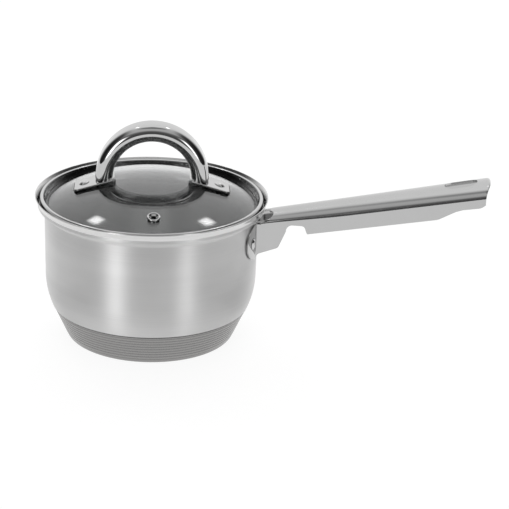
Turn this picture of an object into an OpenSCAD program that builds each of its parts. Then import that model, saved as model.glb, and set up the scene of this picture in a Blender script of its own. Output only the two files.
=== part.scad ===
// Small stainless saucepan with one long riveted handle and a glass lid.
// Millimetres. The origin is the centre of the base on the surface the pan stands on,
// +Z is up, +X runs out along the long handle, and the lid sits on its seat.

/* [Pan] */
// Outer radius of the straight side wall where the belly ends
wall_r = 80.2; // [78:0.1:82]
// Height at which the belly turns into the straight side wall
belly_top_z = 49.8; // [46:0.1:54]
// Height at which the wall turns out into the lid seat
seat_start_z = 98.6; // [94:0.1:104]
// How much wider the side wall is at the seat than at the belly
wall_draft = 0.6; // [0:0.1:1]
// Thickness of the pan's sheet
wall_t = 0.8; // [0.6:0.1:1]
// Outer radius of the upright collar around the lid
collar_r = 86; // [85.6:0.1:87]

/* [Base] */
// Radius of the flat underside
base_flat_r = 61.2; // [59:0.1:62]
// Lean of the base's side away from vertical, in degrees
base_lean = 24.3; // [22:0.1:26]
// Height of the ribbed capsule
capsule_h = 24.8; // [20:0.1:26]
// Thickness of the heat-spreading disc
spreader_t = 4.2; // [3:0.1:5]
// Number of ribs round the capsule
rib_count = 8; // [4:1:9]

/* [Long handle] */
// Distance from the pan's axis to the handle's end
handle_end_x = 253; // [230:1:280]
// Half width of the handle beside the pan
handle_half_root = 12; // [10:0.1:13]
// Half width of the handle at its end
handle_half_end = 18.2; // [14:0.1:19]
// Height of the handle's top line over the collar
handle_root_z = 104.15; // [102:0.1:105]
// Rise of the handle's top line, in mm for each mm outwards
handle_rise = 0.2105; // [0.15:0.0005:0.25]
// Thickness of the handle's sheet
handle_t = 1.2; // [1:0.1:1.5]
// Length of the hanging slot
slot_len = 24; // [20:0.5:28]
// Width of the hanging slot
slot_w = 14; // [10:0.5:16]

/* [Lid] */
// Angle between the lid's arch handle and the long handle, in degrees
lid_turn = 8; // [-45:1:45]
// Height of the top of the glass
dome_top_z = 124.8; // [122:0.1:128]
// Outer radius of curvature of the glass
dome_r = 178; // [170:1:190]
// Thickness of the glass
glass_t = 4; // [3:0.1:4.5]
// Radius of the edge of the glass
glass_edge_r = 80; // [79.5:0.1:80.2]

/* [Lid handle] */
// Outer radius of the arch
arch_outer_r = 42.5; // [38:0.1:44]
// Inner radius of the arch
arch_inner_r = 29.4; // [26:0.1:31]
// Width of the arch across its plane
arch_w = 22; // [20:0.1:24]
// Wall of the hollow arch
arch_wall = 1.2; // [1:0.1:1.5]
// Distance from the lid's axis to each foot rivet
foot_r = 50.5; // [49:0.1:53]

/* [Steam vent] */
// Distance from the lid's axis to the vent
vent_r = 60; // [58:0.5:64]
// Bearing of the vent seen from the lid's middle
vent_bearing = -88.6; // [-92:0.1:-86]
// Radius of the vent's bore
vent_bore_r = 2; // [1.5:0.1:2.3]

/* [Hidden] */
$fn = 96;
EPS = 0.01;
FAR = 400;
GAP = 0.1;

STEEL = [0.78, 0.78, 0.77];
POLISHED = [0.86, 0.86, 0.87];
CAPSULE = [0.62, 0.60, 0.57];
ALUMINIUM = [0.75, 0.76, 0.78];
GLASS = [0.62, 0.68, 0.68, 0.45];
SILICONE = [0.16, 0.16, 0.17];

// Base capsule: a pressed cup whose side leans out and is ribbed
capsule_t = 0.7;
capsule_fillet = 3.2;
rib_first_z = 3.6;
rib_last_z = capsule_h - 1.4;
rib_pitch = (rib_last_z - rib_first_z) / rib_count;
rib_depth = 0.35;

// Pan body: its floor lies on the spreader, its lower side inside the capsule
floor_z = capsule_t + spreader_t + GAP;
body_fillet = 8;
belly_r = 61;
belly_start_z = capsule_h + 0.6;
seat_lean = 55;
seat_fillet = 2;
collar_fillet = 2.4;
flare_start_z = 106;
flare_fillet = 4;
flare_lean = 31;
flare_len = 2.7;

// Long handle: an open channel with an oval crown, two ears and two rivets
crown_root = 7.6;
crown_end = 9.6;
crown_full_x = 150;
handle_root_x = 86;
ear_r_in = wall_r + wall_draft + GAP;
ear_r_out = ear_r_in + handle_t;
ear_bend = 3.6;
ear_end_r = 13.3;
ear_mid_z = 84.2;
ear_mid_y = 16.3;
rivet_angle = 13.6;
rivet_z = 83.6;
rivet_shank_r = 2.5;
rivet_head_r = 4.3;
end_bow = 3;
end_drop_r = 3.5;
slot_mid_x = 231;
relief_r = 4;
relief_mid = [89, 6.9];

// Lid: everything is placed from the glass's outer sphere
dome_mid_z = dome_top_z - dome_r;
bead_r = 1.5;
bead_mid_r = 82.6;
bead_mid_z = 109.1;
band_t = 0.5;
band_lip_r = 79.7;
skirt_r = 79.1;
skirt_end_z = 94.5;

// Lid handle
arch_mid_z = 125.2;
arch_corner = 6.5;
arch_mid_r = (arch_outer_r + arch_inner_r) / 2;
arch_thick = arch_outer_r - arch_inner_r;
tab_w = 22.4;
tab_t = 1.4;
tab_out = 7.6;
tab_in = 22;
tab_corner = 3;
pad_t = 0.6;
tab_z = pad_t + 0.05;
plug_top_z = 127.4;
foot_rivet_r = 1.95;
foot_rivet_head_r = 4;
foot_hole_r = 2.6;
washer_r = 5.6;

// Steam vent
vent_barrel_r = 2.8;
vent_flange_r = 5;
vent_hole_r = 3.4;

// ---------- helpers ----------

// Points along an arc in a plane, from angle a to angle b in n steps
function arc(mid, r, a, b, n) =
    [for (i = [0:n]) mid + r * [cos(a + (b - a) * i / n), sin(a + (b - a) * i / n)]];

function reversed(list) = [for (i = [len(list) - 1:-1:0]) list[i]];

function clamp01(v) = min(max(v, 0), 1);

function smooth(v) = clamp01(v) * clamp01(v) * (3 - 2 * clamp01(v));

// Corner i of a line moved d mm to its left
function turned(v) = [-v.y, v.x] / norm(v);
function beside(line, i, d) =
    let (before = turned(line[max(i, 1)] - line[max(i - 1, 0)]),
        after = turned(line[min(i + 1, len(line) - 1)] - line[min(i, len(line) - 2)]))
    line[i] + d * (before + after) / (1 + before * after);

// A closed outline round a line and its copy moved t mm to the left
function ribbon(line, t) =
    concat(line, reversed([for (i = [0:len(line) - 1]) beside(line, i, t)]));

module round_rect(w, h, r) {
    square([w - 2 * r, h], center = true);
    square([w, h - 2 * r], center = true);
    for (x = [-1, 1], y = [-1, 1])
        translate([x * (w / 2 - r), y * (h / 2 - r)])
            circle(r);
}

// ---------- base and pan body ----------

// Radius of the leaning side at height z, off mm inside the capsule's outer face
function lean_r(z, off) =
    base_flat_r + ((capsule_fillet - off) + (z - capsule_fillet) * sin(base_lean)) / cos(base_lean);

// Rib profile between two heights: 0 in the grooves, rib_depth on the crests
function rib(z) =
    z < rib_first_z || z > rib_last_z ? 0 : rib_depth * (1 - cos(360 * (z - rib_first_z) / rib_pitch)) / 2;

rib_steps = 6 * rib_count;
rib_side = [for (i = [0:rib_steps])
    let (z = rib_first_z + (rib_last_z - rib_first_z) * i / rib_steps) [lean_r(z, 0.2) + rib(z), z]];

capsule_outer = concat(
    [[0, 0]],
    arc([base_flat_r, capsule_fillet], capsule_fillet, -90, -base_lean, 6),
    rib_side,
    [[lean_r(capsule_h - 0.3, 0), capsule_h - 0.3], [lean_r(capsule_h, 0.3), capsule_h]]);
capsule_inner = concat(
    [[0, capsule_t]],
    arc([base_flat_r, capsule_fillet], capsule_fillet - capsule_t, -90, -base_lean, 6),
    [[lean_r(capsule_h, capsule_t), capsule_h]]);

// The pan's sheet: the outer face moved in by off
body_fillet_r = lean_r(floor_z + body_fillet, capsule_t + GAP) - body_fillet / cos(base_lean);
belly_mid_r = wall_r - belly_r;
function belly_angle(off) = asin((belly_top_z - belly_start_z - off) / (belly_r - off));
lean_end_z = capsule_h + 0.15;
seat_mid = [wall_r + wall_draft + seat_fillet, seat_start_z];
seat_end = seat_mid + seat_fillet * [cos(180 - seat_lean), sin(180 - seat_lean)];
collar_mid_r = collar_r - collar_fillet;
seat_out_r = collar_mid_r + collar_fillet * cos(seat_lean);
seat_out_z = seat_end.y + (seat_out_r - seat_end.x) / tan(seat_lean);
collar_mid = [collar_mid_r, seat_out_z + collar_fillet * sin(seat_lean)];
flare_mid = [collar_r + flare_fillet, flare_start_z];

function body_line(off) = concat(
    [[0, floor_z + off]],
    arc([body_fillet_r, floor_z + body_fillet], body_fillet - off, -90, -base_lean, 8),
    [[lean_r(lean_end_z + off, capsule_t + GAP + off), lean_end_z + off]],
    arc([belly_mid_r, belly_top_z], belly_r - off, -belly_angle(off), 0, 14),
    arc(seat_mid, seat_fillet + off, 180, 180 - seat_lean, 6),
    arc(collar_mid, collar_fillet - off, -seat_lean, 0, 6),
    arc(flare_mid, flare_fillet + off, 180, 180 - flare_lean, 5),
    [flare_mid + (flare_fillet + off) * [-cos(flare_lean), sin(flare_lean)]
        + flare_len * [sin(flare_lean), cos(flare_lean)]]);

lip_mid = flare_mid + (flare_fillet + wall_t / 2) * [-cos(flare_lean), sin(flare_lean)]
    + flare_len * [sin(flare_lean), cos(flare_lean)];

module pan_body() {
    color(STEEL)
        difference() {
            rotate_extrude()
                polygon(concat(
                    body_line(0),
                    arc(lip_mid, wall_t / 2, -flare_lean + 20, 160 - flare_lean, 4),
                    reversed(body_line(wall_t))));
            for (side = [-1, 1])
                at_rivet(side)
                    cylinder(h = 10, r = rivet_shank_r + 0.05, center = true);
        }
}

// The solid out to the pan's outer face plus a gap, used to trim the handle
module pan_envelope(gap) {
    rotate_extrude()
        polygon(concat(body_line(-gap), [[0, flare_start_z + flare_fillet + flare_len]]));
}

module heat_spreader() {
    color(ALUMINIUM)
        translate([0, 0, capsule_t + GAP / 2])
            cylinder(h = spreader_t, r = base_flat_r);
}

module base_capsule() {
    color(CAPSULE)
        rotate_extrude()
            polygon(concat(capsule_outer, reversed(capsule_inner)));
}

// ---------- long handle ----------

function handle_share(x) = (x - handle_root_x) / (handle_end_x - handle_root_x);
function half_width(x) = handle_half_root + (handle_half_end - handle_half_root) * handle_share(x);
function end_drop(x) =
    let (over = min(max(x - handle_end_x + end_drop_r, 0), end_drop_r - EPS))
    end_drop_r - sqrt(pow(end_drop_r, 2) - pow(over, 2));
function top_z(x) = handle_root_z + handle_rise * (x - handle_root_x) - end_drop(x);
function crown(x) = crown_root
    + (crown_end - crown_root) * smooth((x - handle_root_x) / (crown_full_x - handle_root_x));

// One cross-section of the channel, off mm inside its outer face
CROWN_STEPS = 16;
SKIRT = 40;
function channel_section(x, off) = concat(
    [[x, -(half_width(x) - off), top_z(x) - SKIRT]],
    [for (i = [0:CROWN_STEPS])
        let (a = 180 - 180 * i / CROWN_STEPS)
        [x, (half_width(x) - off) * cos(a), top_z(x) - crown(x) + (crown(x) - off) * sin(a)]],
    [[x, half_width(x) - off, top_z(x) - SKIRT]]);

// A solid through a row of sections that all have the same number of points
module loft(sections) {
    n = len(sections[0]);
    last = len(sections) - 1;
    side = [for (s = [0:last - 1], i = [0:n - 1])
        [s * n + i, s * n + (i + 1) % n, (s + 1) * n + (i + 1) % n, (s + 1) * n + i]];
    polyhedron(
        points = [for (s = sections) each s],
        faces = concat([[for (i = [n - 1:-1:0]) i]], side, [[for (i = [0:n - 1]) last * n + i]]));
}

drop_stations = [for (a = [0:22.5:67.5]) handle_end_x - end_drop_r * (1 - sin(a))];
stations = concat([80, 98, 110, 122, 134, 150, 200], drop_stations, [handle_end_x, handle_end_x + 9]);
inner_stations = concat([70], [for (i = [1:len(stations) - 2]) stations[i]], [handle_end_x + 17]);

module channel() {
    difference() {
        loft([for (x = stations) channel_section(x, 0)]);
        loft([for (x = inner_stations)
            [for (p = channel_section(x, handle_t)) p.z < top_z(x) - SKIRT + EPS ? p - [0, 0, 5] : p]]);
    }
}

// Side outline of the channel: the web beside the pan, the cut-out after it, then the skirt
web_start = [78, 71.15];
web_corner = [97.4, 78.95];
cut_rise = [103.2, 92.55];
cut_top = 97.8;
cut_end = [119.3, 91.6];
skirt_slope = 0.2005;
skirt_end_x = 216;
tip_z = 120;
tip_start_x = 233;
skirt_end = [skirt_end_x, cut_end.y + skirt_slope * (skirt_end_x - cut_end.x)];

side_outline = concat(
    [web_start, web_corner, cut_rise],
    arc([108.2, cut_top - 5], 5, 160, 90, 4),
    arc([114.6, cut_top - 3.2], 3.2, 90, 5, 4),
    [cut_end, skirt_end, [223.5, 115.4], [228.5, 118.3]],
    [[tip_start_x, tip_z], [241, tip_z + 1.6]],
    arc([handle_end_x - 11, tip_z + 12.6], 11, -70, -4, 6),
    [[handle_end_x + 0.6, top_z(handle_end_x) + 5]],
    [[78, top_z(78) + 5]]);

// Plan outline of the channel: its end is bowed, so that both sides stop short of the middle
module end_outline() {
    half = half_width(handle_end_x);
    reach = half + 1;
    polygon(concat(
        [[60, -reach], [handle_end_x - end_bow, -reach]],
        [for (i = [-12:12]) [handle_end_x - end_bow * pow(i / 12, 2), half * i / 12]],
        [[handle_end_x - end_bow, reach], [60, reach]]));
}

// Plan of one ear in three pieces: a band round the wall, a bend and the start of the web
ear_bend_y = half_width(90) + ear_bend;
ear_bend_x = sqrt(pow(ear_r_out + ear_bend, 2) - pow(ear_bend_y, 2));
ear_bend_end = atan2(ear_bend_y, ear_bend_x);

module half_plane(angle) {
    rotate(angle)
        translate([-FAR, 0])
            square([2 * FAR, FAR]);
}

module ear_band() {
    difference() {
        circle(ear_r_out);
        circle(ear_r_in);
        half_plane(ear_bend_end - 180.4);
        half_plane(32);
    }
}

module ear_curve() {
    translate([ear_bend_x, ear_bend_y])
        difference() {
            circle(ear_bend + handle_t);
            circle(ear_bend);
            half_plane(ear_bend_end);
            half_plane(-90.2);
        }
}

module ear_web() {
    translate([ear_bend_x - EPS, half_width(90) - handle_t])
        square([7, handle_t]);
}

module ear(side) {
    height = ear_mid_z + ear_end_r - web_start.y;
    intersection() {
        mirror([0, side < 0 ? 1 : 0, 0])
            translate([0, 0, web_start.y]) {
                linear_extrude(height)
                    ear_band();
                linear_extrude(height)
                    ear_curve();
                linear_extrude(height)
                    ear_web();
            }
        translate([0, side * ear_mid_y, ear_mid_z])
            rotate([0, 90, 0])
                linear_extrude(FAR)
                    union() {
                        circle(ear_end_r);
                        translate([-ear_end_r, side > 0 ? -FAR : 0])
                            square([2 * ear_end_r, FAR]);
                    }
    }
}

// Places children on a handle rivet's axis, +Z outwards, z = 0 on the wall's outer face
module at_rivet(side) {
    rotate(side * rivet_angle)
        translate([wall_r + wall_draft, 0, rivet_z])
            rotate([0, 90, 0])
                children();
}

module slot_cut() {
    linear_extrude(FAR)
        translate([slot_mid_x, 0])
            round_rect(slot_len, slot_w, slot_w / 2 - EPS);
}

// Round-ended reliefs where the crown meets the sides, open towards the pan
module relief_cuts() {
    for (side = [-1, 1])
        translate([relief_mid.x, side * relief_mid.y, seat_start_z])
            linear_extrude(12) {
                circle(relief_r);
                translate([-20, -relief_r])
                    square([20, 2 * relief_r]);
            }
}

module long_handle() {
    color(POLISHED)
        difference() {
            union() {
                intersection() {
                    channel();
                    translate([0, FAR, 0])
                        rotate([90, 0, 0])
                            linear_extrude(2 * FAR)
                                polygon(side_outline);
                    linear_extrude(FAR)
                        end_outline();
                }
                for (side = [-1, 1])
                    ear(side);
            }
            pan_envelope(GAP);
            slot_cut();
            relief_cuts();
            for (side = [-1, 1])
                at_rivet(side)
                    cylinder(h = 10, r = rivet_shank_r + 0.05, center = true);
        }
}

module handle_rivet(side) {
    color(POLISHED)
        at_rivet(side) {
            head_z = GAP + handle_t + 0.05;
            inner_z = -wall_t - 0.35;
            translate([0, 0, inner_z - 0.5])
                cylinder(h = head_z - inner_z + 1, r = rivet_shank_r);
            translate([0, 0, head_z])
                cylinder(h = 0.7, r = rivet_head_r);
            translate([0, 0, head_z + 0.7 - EPS])
                cylinder(h = 0.9, r1 = rivet_head_r, r2 = rivet_head_r - 1.6);
            translate([0, 0, inner_z - 0.5])
                cylinder(h = 0.5, r = rivet_head_r);
            translate([0, 0, inner_z - 1.1])
                cylinder(h = 0.61, r1 = rivet_head_r - 1.4, r2 = rivet_head_r);
        }
}

// ---------- lid ----------

function dome_z(r, over) = dome_mid_z + sqrt(pow(dome_r + over, 2) - r * r);

// Places children on the glass at distance r in direction angle, +Z along the glass's normal
module on_dome(r, angle) {
    rotate(lid_turn + angle)
        translate([r, 0, dome_z(r, 0)])
            rotate([0, asin(r / dome_r), 0])
                children();
}

module outside_dome(over) {
    difference() {
        children();
        translate([0, 0, dome_mid_z])
            sphere(dome_r + over, $fn = 300);
    }
}

module lid_glass() {
    color(GLASS)
        difference() {
            rotate_extrude()
                polygon(concat(
                    [for (i = [0:20]) let (r = glass_edge_r * i / 20) [r, dome_z(r, 0)]],
                    [for (i = [20:-1:0]) let (r = glass_edge_r * i / 20) [r, dome_z(r, -glass_t)]]));
            for (side = [0, 180])
                on_dome(foot_r, side)
                    cylinder(h = 12, r = foot_hole_r, center = true);
            on_dome(vent_r, vent_bearing)
                cylinder(h = 12, r = vent_hole_r, center = true);
        }
}

// Outer face of the band's section: a lip on the glass, a rolled top, the wall that drops to
// the pan's seat, a slope that rests on it, and a skirt inside the pan
band_line = concat(
    [[band_lip_r, dome_z(band_lip_r, 0.1)]],
    arc([bead_mid_r, bead_mid_z], bead_r, 190, 0, 14),
    [[bead_mid_r + bead_r, 103.15], [80.9, 100.9], [79.6, 100.45]],
    [[skirt_r, 99.9], [skirt_r, skirt_end_z]]);

module lid_rim_band() {
    color(POLISHED)
        rotate_extrude()
            polygon(ribbon(band_line, -band_t));
}

module arch_section(off) {
    round_rect(arch_thick - 2 * off, arch_w - 2 * off, arch_corner - off);
}

module arch_solid(off) {
    translate([0, 0, arch_mid_z]) {
        rotate([90, 0, 0])
            rotate_extrude(angle = 180)
                translate([arch_mid_r, 0])
                    arch_section(off);
        for (side = [-1, 1])
            translate([side * arch_mid_r, 0, -10])
                linear_extrude(10)
                    arch_section(off);
    }
}

// Foot tab in the rivet's frame: a flat plate with two rounded corners
module tab_plate() {
    translate([-tab_in, -tab_w / 2, tab_z])
        cube([tab_in, tab_w, tab_t]);
    translate([tab_out / 2 - 2, 0, tab_z])
        linear_extrude(tab_t)
            round_rect(tab_out + 4, tab_w, tab_corner);
}

// Everything below the top of a foot tab, so that the arch stands on it
module under_tab_top() {
    translate([-40, -20, -30])
        cube([60, 40, 30 + tab_z + tab_t + 0.05]);
}

module lid_handle_arch() {
    color(POLISHED)
        difference() {
            rotate(lid_turn)
                difference() {
                    arch_solid(0);
                    arch_solid(arch_wall);
                }
            for (side = [0, 180])
                on_dome(foot_r, side)
                    under_tab_top();
        }
}

module foot(side) {
    color(POLISHED)
        difference() {
            union() {
                on_dome(foot_r, side)
                    tab_plate();
                rotate(lid_turn + side)
                    translate([arch_mid_r, 0, arch_mid_z - 5])
                        linear_extrude(plug_top_z - arch_mid_z + 5)
                            arch_section(arch_wall + 0.2);
            }
            translate([0, 0, dome_mid_z])
                sphere(dome_r + pad_t, $fn = 300);
            on_dome(foot_r, side)
                cylinder(h = 12, r = foot_rivet_r + 0.05, center = true);
        }
}

module pad(side) {
    pad_w = tab_w - 1.2;
    color(SILICONE)
        outside_dome(0.05)
            difference() {
                on_dome(foot_r, side)
                    translate([0, 0, -1])
                        linear_extrude(pad_t + 1)
                            translate([-0.6, 0])
                                round_rect(15.2, pad_w, 2.5);
                on_dome(foot_r, side)
                    cylinder(h = 12, r = foot_rivet_r + 0.05, center = true);
            }
}

module ring(z0, z1, r_in, r_out) {
    translate([0, 0, z0])
        difference() {
            cylinder(h = z1 - z0, r = r_out);
            translate([0, 0, -1])
                cylinder(h = z1 - z0 + 2, r = r_in);
        }
}

inner_pad_z = -glass_t - 0.15;
washer_z = inner_pad_z - 1.05;

module inner_pad(side) {
    color(SILICONE)
        on_dome(foot_r, side)
            ring(inner_pad_z - 1, inner_pad_z, foot_rivet_r + 0.05, washer_r + 0.6);
}

module washer(side) {
    color(STEEL)
        on_dome(foot_r, side)
            ring(washer_z - 1, washer_z, foot_rivet_r + 0.05, washer_r);
}

module foot_rivet(side) {
    head_z = pad_t + tab_t + 0.1;
    tail_z = washer_z - 1.05;
    color(POLISHED)
        on_dome(foot_r, side) {
            translate([0, 0, tail_z - 0.5])
                cylinder(h = head_z - tail_z + 1, r = foot_rivet_r);
            translate([0, 0, head_z])
                cylinder(h = 0.8, r = foot_rivet_head_r);
            translate([0, 0, head_z + 0.8 - EPS])
                cylinder(h = 0.9, r1 = foot_rivet_head_r, r2 = foot_rivet_head_r - 1.5);
            translate([0, 0, tail_z - 1.2])
                cylinder(h = 1.2, r1 = foot_rivet_head_r - 1.2, r2 = foot_rivet_head_r - 0.4);
        }
}

module vent_eyelet() {
    flange_z = 0.7;
    color(POLISHED)
        on_dome(vent_r, vent_bearing)
            rotate_extrude()
                polygon([
                    [vent_bore_r, -6], [vent_barrel_r + 0.9, -6], [vent_barrel_r + 0.9, -5.5],
                    [vent_barrel_r, -5.3], [vent_barrel_r, flange_z], [vent_flange_r, flange_z],
                    [vent_flange_r, flange_z + 0.4], [vent_flange_r - 0.5, flange_z + 0.9],
                    [vent_flange_r - 1, flange_z + 0.9], [vent_bore_r, flange_z - 0.4]]);
}

module vent_gasket() {
    color(SILICONE)
        on_dome(vent_r, vent_bearing)
            ring(0.03, 0.65, vent_barrel_r + 0.1, vent_flange_r - 0.4);
}

module vent_collar() {
    color(POLISHED)
        on_dome(vent_r, vent_bearing)
            ring(-5.25, -4.25, vent_barrel_r + 0.05, vent_flange_r - 0.2);
}

pan_body();
heat_spreader();
base_capsule();
long_handle();
handle_rivet(-1);  // handle_rivet_left
handle_rivet(1);  // handle_rivet_right
lid_glass();
lid_rim_band();
lid_handle_arch();
foot(180);  // lid_handle_foot_left
foot(0);  // lid_handle_foot_right
pad(180);  // lid_pad_left
pad(0);  // lid_pad_right
inner_pad(180);  // lid_inner_pad_left
inner_pad(0);  // lid_inner_pad_right
washer(180);  // lid_washer_left
washer(0);  // lid_washer_right
foot_rivet(180);  // lid_rivet_left
foot_rivet(0);  // lid_rivet_right
vent_eyelet();
vent_gasket();
vent_collar();
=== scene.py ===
"""Looks for the saucepan with a glass lid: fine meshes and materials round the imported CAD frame.

Lengths are metres in the CAD's frame: origin at the middle of the base, +X along the long
handle, +Z up. Helper mm() turns the design's millimetres into metres.
"""

import math

import bmesh
import bpy
from mathutils import Matrix, Vector


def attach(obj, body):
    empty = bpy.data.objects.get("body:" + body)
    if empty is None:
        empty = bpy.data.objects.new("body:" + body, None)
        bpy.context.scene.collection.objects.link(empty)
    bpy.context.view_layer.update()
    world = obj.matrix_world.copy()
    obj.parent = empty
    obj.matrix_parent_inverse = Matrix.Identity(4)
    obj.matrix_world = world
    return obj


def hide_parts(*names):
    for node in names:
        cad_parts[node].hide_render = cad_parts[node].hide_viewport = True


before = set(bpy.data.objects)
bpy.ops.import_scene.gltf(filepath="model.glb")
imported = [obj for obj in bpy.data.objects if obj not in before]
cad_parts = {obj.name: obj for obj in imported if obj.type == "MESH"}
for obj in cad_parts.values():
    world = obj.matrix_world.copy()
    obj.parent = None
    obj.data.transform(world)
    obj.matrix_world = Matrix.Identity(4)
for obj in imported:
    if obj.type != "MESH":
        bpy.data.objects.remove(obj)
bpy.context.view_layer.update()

# The two moving bodies, and how many flat sides a turned piece has
PAN = "pan"
LID = "lid"
SEGMENTS = 288


def mm(value):
    return value / 1000


# ---------------------------------------------------------------- camera

# Degrees, apart from the distance (m), the lens and the sensor (mm)
LID_TURN = 8.0
CAMERA_DISTANCE = 1.6
CAMERA_ELEVATION = 23.635
CAMERA_HEADING = 3.0845 - LID_TURN
CAMERA_PITCH = 21.501
CAMERA_ROLL = 1.895
CAMERA_LENS = 145.84
CAMERA_SENSOR = 36


def make_camera():
    """Stands in front, turned a little towards the long handle, and looks down at the pan."""
    bearing, elevation = math.radians(LID_TURN), math.radians(CAMERA_ELEVATION)
    heading, pitch, roll = map(math.radians, (CAMERA_HEADING, CAMERA_PITCH, CAMERA_ROLL))
    place = CAMERA_DISTANCE * Vector((
        math.cos(elevation) * math.sin(bearing),
        -math.cos(elevation) * math.cos(bearing),
        math.sin(elevation)))
    forward = Vector((
        math.sin(heading) * math.cos(pitch),
        math.cos(heading) * math.cos(pitch),
        -math.sin(pitch)))
    level = forward.cross(Vector((0, 0, 1))).normalized()
    upright = level.cross(forward)
    right = level * math.cos(roll) + upright * math.sin(roll)
    up = upright * math.cos(roll) - level * math.sin(roll)
    camera = bpy.data.objects.new("camera", bpy.data.cameras.new("camera"))
    camera.data.lens = CAMERA_LENS
    camera.data.sensor_width = CAMERA_SENSOR
    camera.matrix_world = Matrix.Translation(place) @ Matrix((
        (right.x, up.x, -forward.x),
        (right.y, up.y, -forward.y),
        (right.z, up.z, -forward.z))).to_4x4()
    bpy.context.scene.collection.objects.link(camera)
    bpy.context.scene.camera = camera


# ---------------------------------------------------------------- node helpers

def new_material(name):
    material = bpy.data.materials.new(name)
    material.use_nodes = True
    return material, material.node_tree, material.node_tree.nodes["Principled BSDF"]


def put(socket, value):
    """Sets a socket: a node's output is linked to it, anything else becomes its value."""
    if isinstance(value, bpy.types.NodeSocket):
        socket.id_data.links.new(value, socket)
    else:
        socket.default_value = value


def math_node(tree, operation, *values):
    """A Math node's output; each value is a number or another node's output."""
    node = tree.nodes.new("ShaderNodeMath")
    node.operation = operation
    for socket, value in zip(node.inputs, values):
        put(socket, value)
    return node.outputs[0]


def combine(tree, x, y, z):
    """One vector out of three numbers or outputs."""
    node = tree.nodes.new("ShaderNodeCombineXYZ")
    for socket, value in zip(node.inputs, (x, y, z)):
        put(socket, value)
    return node.outputs[0]


def object_axes(tree):
    """Object coordinates split into x, y and z, in metres."""
    split = tree.nodes.new("ShaderNodeSeparateXYZ")
    put(split.inputs[0], tree.nodes.new("ShaderNodeTexCoord").outputs["Object"])
    return split.outputs


def ring_radius(tree, x, y):
    """Distance from the pan's axis."""
    return math_node(tree, "SQRT", math_node(
        tree, "ADD", math_node(tree, "MULTIPLY", x, x), math_node(tree, "MULTIPLY", y, y)))


def noise(tree, vector, scale, detail=2.0, roughness=0.5):
    """Noise from 0 to 1 at the given vector; scale is in waves for each unit of it."""
    node = tree.nodes.new("ShaderNodeTexNoise")
    put(node.inputs["Vector"], vector)
    node.inputs["Scale"].default_value = scale
    node.inputs["Detail"].default_value = detail
    node.inputs["Roughness"].default_value = roughness
    return node.outputs["Fac"]


def remap(tree, value, low, high, to_low, to_high):
    """value, stretched from low..high to to_low..to_high and held at the ends."""
    node = tree.nodes.new("ShaderNodeMapRange")
    for socket, item in zip(node.inputs, (value, low, high, to_low, to_high)):
        put(socket, item)
    return node.outputs["Result"]


# Where a Mix node keeps its colours: inputs A and B, and the result
MIX_A, MIX_B, MIX_RESULT = 6, 7, 2


def mix_colours(tree, share, first, second):
    """The first colour where share is 0, the second where it is 1."""
    node = tree.nodes.new("ShaderNodeMix")
    node.data_type = "RGBA"
    put(node.inputs["Factor"], share)
    put(node.inputs[MIX_A], first)
    put(node.inputs[MIX_B], second)
    return node.outputs[MIX_RESULT]


def add_bump(tree, shader, height, strength, distance):
    """Fine relief on a shader; distance is its depth in metres."""
    node = tree.nodes.new("ShaderNodeBump")
    put(node.inputs["Height"], height)
    node.inputs["Strength"].default_value = strength
    node.inputs["Distance"].default_value = distance
    put(shader.inputs["Normal"], node.outputs["Normal"])


def grey(level, warmth=0.0):
    """A grey colour; warmth shifts it from blue towards red."""
    return (level * (1 + warmth), level, level * (1 - warmth), 1)


# ---------------------------------------------------------------- materials

# Height (mm) above which the pan's sheet is polished all round, and half of the blend there
RIM_FINISH_Z = 106.0
RIM_BLEND = 0.4
# A face whose place (m) times its outward lean is under this looks inwards
INWARD_BELOW = 0.004
# Turned steel: brightness of its broad bands and fine rings and the spread of its roughness,
# as shares, the turn that sets the stretched highlights upright, and the rings' depth (mm)
BAND_TONES = (0.88, 1.08)
RING_TONE = 1.02
ROUGH_SPREAD = 0.12
QUARTER_TURN = 0.25
RING_DEPTH = 0.02
# Anisotropy of the polished inner side and rim
POLISHED_STRETCH = 0.8
# Painted shade in a thin line on the body just above the capsule, for the shadow in the joint: its
# blend starts and ends so far above the capsule (mm)
SEAM_START = 0.7
SEAM_END = 1.3
PAINTED_SEAM_SHADE = 0.2
# Levels of the ribs' wave between which a groove darkens with painted shade
GROOVE_START = 0.1
GROOVE_END = 0.95
# Buffed steel: the same for its handling marks and hairlines
MARK_TONES = (0.97, 1.03)
MARK_SPREAD = 0.2
HAIRLINE_SCALE = 900
HAIRLINE_STRENGTH = 0.06
HAIRLINE_DEPTH = 0.01
# Half of the blend (mm) and level of the painted shade where the band's inner lip meets the glass
LIP_SHADE_BLEND = 0.2
LIP_PAINTED_SHADE = 0.35
GLASS_TINT = (0.57, 0.58, 0.58, 1)
GLASS_IOR = 1.65


def turned_coordinates(tree, along, around):
    """Coordinates stretched round the pan's axis, so that noise becomes turned rings."""
    x, y, z = object_axes(tree)
    angle = math_node(tree, "ARCTAN2", y, x)
    return combine(
        tree,
        math_node(tree, "MULTIPLY", angle, around),
        math_node(tree, "MULTIPLY", ring_radius(tree, x, y), along),
        math_node(tree, "MULTIPLY", z, along))


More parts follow.
